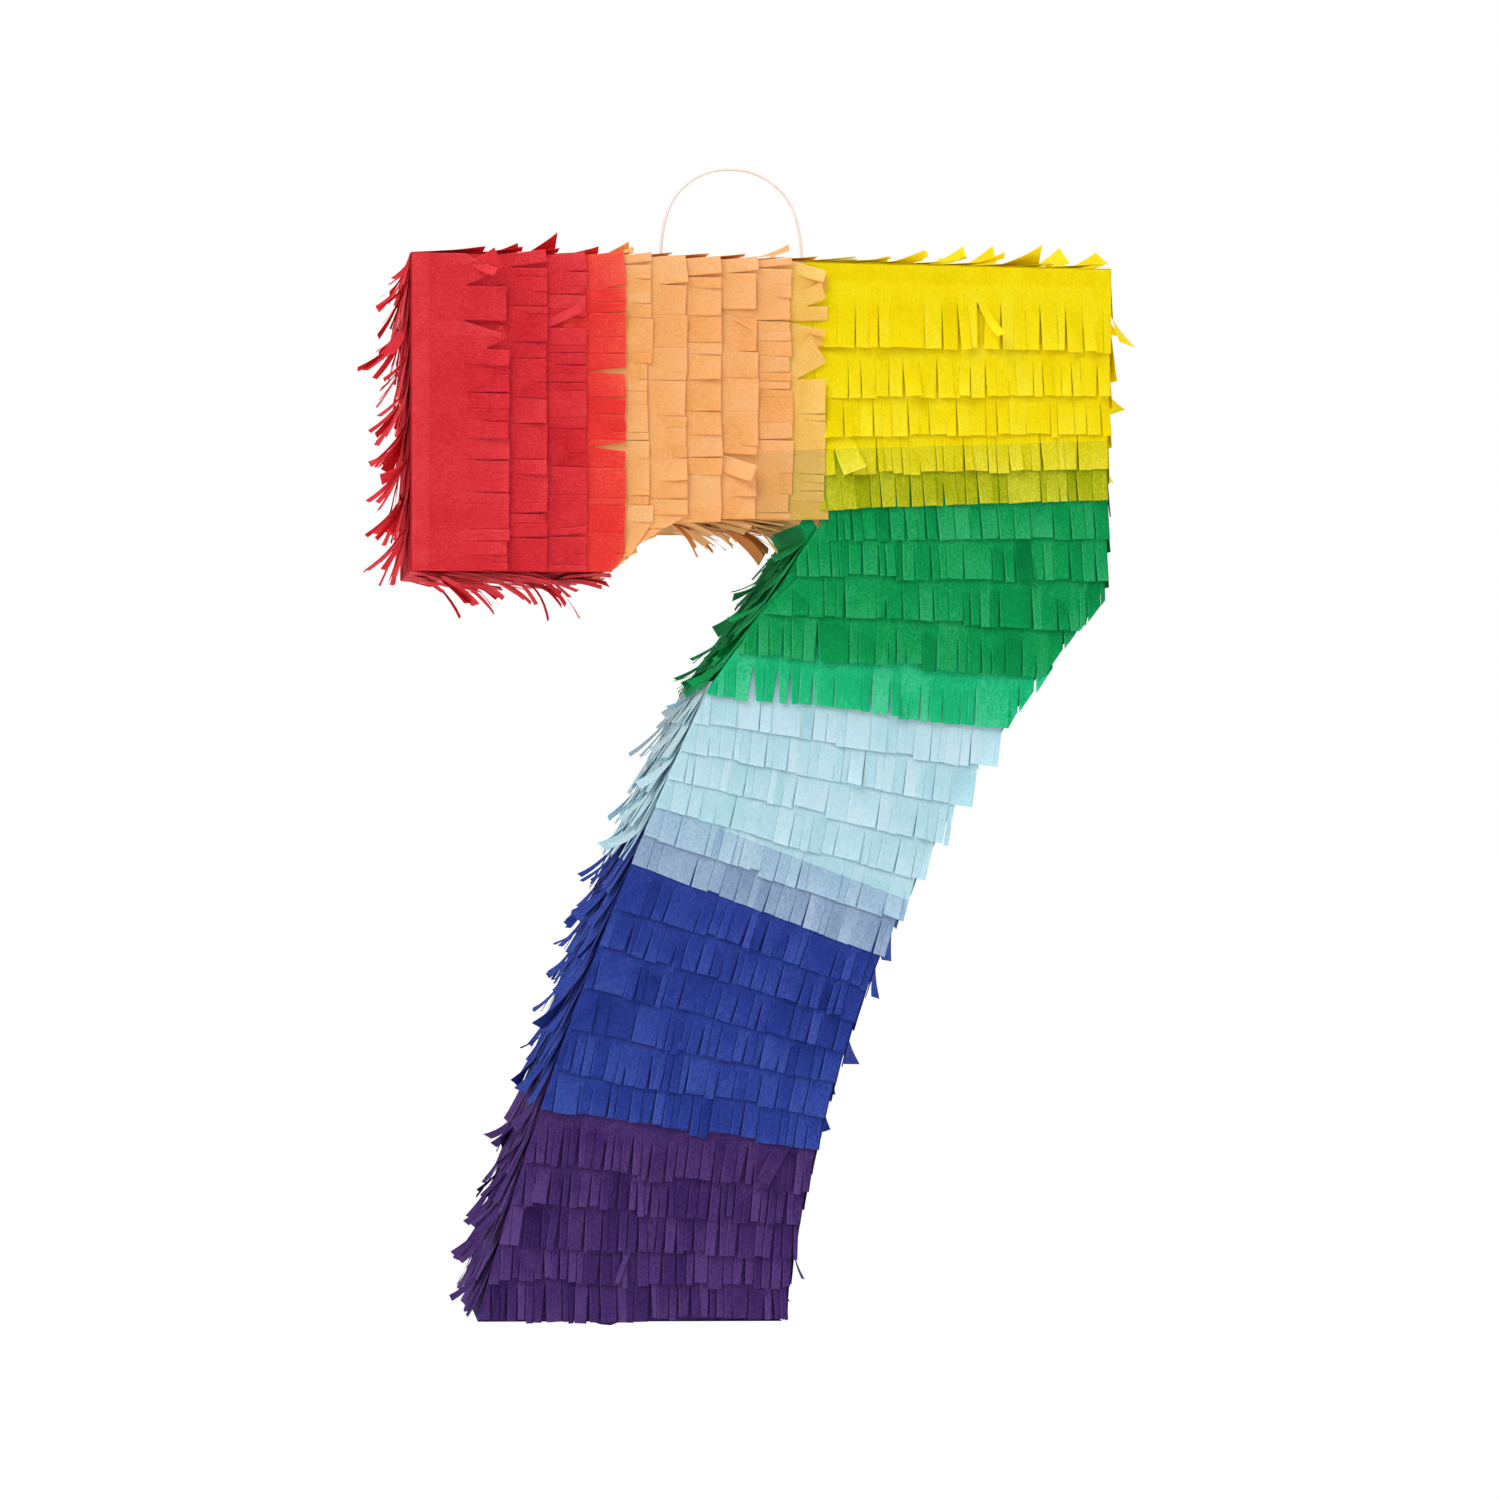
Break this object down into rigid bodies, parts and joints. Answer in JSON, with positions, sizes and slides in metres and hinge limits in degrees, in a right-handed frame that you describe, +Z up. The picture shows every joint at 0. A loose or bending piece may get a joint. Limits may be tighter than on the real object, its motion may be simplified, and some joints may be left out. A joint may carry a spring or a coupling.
{
  "type": "pinata",
  "caption": "Hollow number-seven party pinata: board casing covered in rows of cut tissue fringe, hung from a line loop, with a filling flap in the back.",
  "frame": {"origin": "underside of the loop's top, where a hook carries the pinata", "axes": "+Z up, +X to the reader's right when the seven is read from the front, +Y from the front panel to the back panel"},
  "size_m": [0.2896, 0.082, 0.4611],
  "materials": {
    "board": "matte",
    "red_tissue": "matte",
    "peach_tissue": "matte",
    "yellow_tissue": "matte",
    "green_tissue": "matte",
    "sky_tissue": "matte",
    "blue_tissue": "matte",
    "purple_tissue": "matte",
    "nylon_line": "gloss"
  },
  "bodies": {
    "loop": {"hang_loop": "nylon_line"},
    "casing": {"front_panel": "board", "back_panel": "board", "top_wall": "board", "right_wall": "board", "leg_outer_wall": "board", "foot_wall": "board", "leg_inner_wall": "board", "arm_underside_wall": "board", "end_wall": "board", "loop_patch": "board", "red_front_row_1": "red_tissue", "red_front_row_2": "red_tissue", "red_front_row_3": "red_tissue", "red_front_row_4": "red_tissue", "peach_front_row_1": "peach_tissue", "peach_front_row_2": "peach_tissue", "peach_front_row_3": "peach_tissue", "peach_front_row_4": "peach_tissue", "peach_front_row_5": "peach_tissue", "peach_front_row_6": "peach_tissue", "yellow_front_row_1": "yellow_tissue", "yellow_front_row_2": "yellow_tissue", "yellow_front_row_3": "yellow_tissue", "yellow_front_row_4": "yellow_tissue", "yellow_front_row_5": "yellow_tissue", "green_front_row_1": "green_tissue", "green_front_row_2": "green_tissue", "green_front_row_3": "green_tissue", "green_front_row_4": "green_tissue", "green_front_row_5": "green_tissue", "sky_front_row_1": "sky_tissue", "sky_front_row_2": "sky_tissue", "sky_front_row_3": "sky_tissue", "sky_front_row_4": "sky_tissue", "sky_front_row_5": "sky_tissue", "sky_front_row_6": "sky_tissue", "blue_front_row_1": "blue_tissue", "blue_front_row_2": "blue_tissue", "blue_front_row_3": "blue_tissue", "blue_front_row_4": "blue_tissue", "blue_front_row_5": "blue_tissue", "blue_front_row_6": "blue_tissue", "purple_front_row_1": "purple_tissue", "purple_front_row_2": "purple_tissue", "purple_front_row_3": "purple_tissue", "purple_front_row_4": "purple_tissue", "purple_front_row_5": "purple_tissue", "red_side_and_back_fringe": "red_tissue", "peach_side_and_back_fringe": "peach_tissue", "yellow_side_and_back_fringe": "yellow_tissue", "green_side_and_back_fringe": "green_tissue", "sky_side_and_back_fringe": "sky_tissue", "blue_side_and_back_fringe": "blue_tissue", "purple_side_and_back_fringe": "purple_tissue", "left_line_end": "nylon_line", "right_line_end": "nylon_line"},
    "flap": {"fill_flap": "board", "flap_fringe": "yellow_tissue"}
  },
  "joints": [
    {"name": "loop_swing", "type": "hinge", "parent": "loop", "child": "casing", "pos_m": [0, 0, -0.0385], "axis": [1, 0, 0], "range_deg": [-75, 75]},
    {"name": "flap_hinge", "type": "hinge", "parent": "casing", "child": "flap", "pos_m": [0.089, 0.038, -0.067], "axis": [1, 0, 0], "range_deg": [0, 100]}
  ]
}
